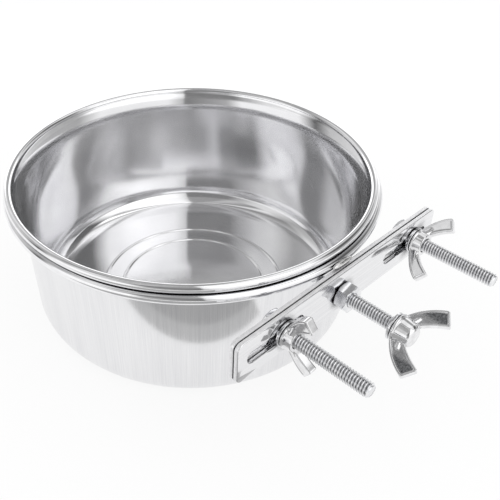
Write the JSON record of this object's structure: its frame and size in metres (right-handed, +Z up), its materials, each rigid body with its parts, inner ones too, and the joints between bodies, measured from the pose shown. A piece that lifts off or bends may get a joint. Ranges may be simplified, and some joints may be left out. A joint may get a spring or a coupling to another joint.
{
  "type": "hanging pet bowl",
  "caption": "Round steel pet bowl hung by its rolled rim in a rod ring, with a two-plate clamp of slotted bars, bolts and wing nuts that grips a cage's bars.",
  "frame": {"origin": "on the bowl's axis, on the flat underside of its base", "axes": "+Z up along the bowl's axis; -Y from the bowl towards the clamp, along its three screws; X along the clamp's plates"},
  "size_m": [0.1816, 0.2306, 0.074],
  "materials": {
    "bowl_steel": "fine vertical brushing outside, satin mirror inside",
    "rod_steel": "bright polished rod",
    "weld_metal": "dull weld metal",
    "plate_steel": "polished strip with rounded corners",
    "plated_steel": "bright zinc or nickel plating",
    "cast_metal": "plated casting, grainy in its recesses"
  },
  "bodies": {
    "holder": {"support_ring": "rod_steel", "ring_weld": "weld_metal", "back_plate": "plate_steel"},
    "bowl": {"bowl": "bowl_steel"},
    "front_plate": {"front_plate": "plate_steel", "weld_nut": "plated_steel"},
    "left_bolt": {"left_bolt": "plated_steel"},
    "right_bolt": {"right_bolt": "plated_steel"},
    "left_washer": {"left_washer": "plated_steel"},
    "right_washer": {"right_washer": "plated_steel"},
    "left_wing_nut": {"left_wing_nut": "cast_metal"},
    "right_wing_nut": {"right_wing_nut": "cast_metal"},
    "centre_washer": {"centre_washer": "plated_steel"},
    "wing_screw": {"screw_stud": "plated_steel", "screw_wing": "cast_metal"}
  },
  "joints": [
    {"name": "bowl_lift", "type": "slide", "parent": "holder", "child": "bowl", "axis": [0, 0, 1], "range_m": [0, 0.08]},
    {"name": "left_bolt_slide", "type": "slide", "parent": "holder", "child": "left_bolt", "axis": [1, 0, 0], "range_m": [-0.0177, 0.0078]},
    {"name": "right_bolt_slide", "type": "slide", "parent": "holder", "child": "right_bolt", "axis": [1, 0, 0], "range_m": [-0.0191, 0.0064]},
    {"name": "left_washer_travel", "type": "slide", "parent": "left_bolt", "child": "left_washer", "axis": [0, -1, 0], "range_m": [0, 0.02541]},
    {"name": "left_nut_turn", "type": "hinge", "parent": "left_washer", "child": "left_wing_nut", "pos_m": [-0.0383, -0.0977, 0.057], "axis": [0, -1, 0], "range_deg": [0, 7201]},
    {"name": "right_washer_travel", "type": "slide", "parent": "right_bolt", "child": "right_washer", "axis": [0, -1, 0], "range_m": [0, 0.02541]},
    {"name": "right_nut_turn", "type": "hinge", "parent": "right_washer", "child": "right_wing_nut", "pos_m": [0.0496, -0.0977, 0.057], "axis": [0, -1, 0], "range_deg": [0, 7201]},
    {"name": "front_plate_travel", "type": "slide", "parent": "holder", "child": "front_plate", "axis": [0, -1, 0], "range_m": [0, 0.0254]},
    {"name": "screw_travel", "type": "slide", "parent": "front_plate", "child": "centre_washer", "axis": [0, -1, 0], "range_m": [-0.00064, 0.0127]},
    {"name": "screw_turn", "type": "hinge", "parent": "centre_washer", "child": "wing_screw", "pos_m": [-0.0026, -0.1223, 0.0554], "axis": [0, -1, 0], "range_deg": [-181, 3601]}
  ],
  "couplings": [
    {"joint": "left_washer_travel", "follows": "front_plate_travel", "ratio": 1},
    {"joint": "right_washer_travel", "follows": "front_plate_travel", "ratio": 1},
    {"joint": "left_nut_turn", "follows": "front_plate_travel", "rad_per_m": 4947.4},
    {"joint": "right_nut_turn", "follows": "front_plate_travel", "rad_per_m": 4947.4},
    {"joint": "screw_turn", "follows": "screw_travel", "rad_per_m": 4947.4}
  ]
}
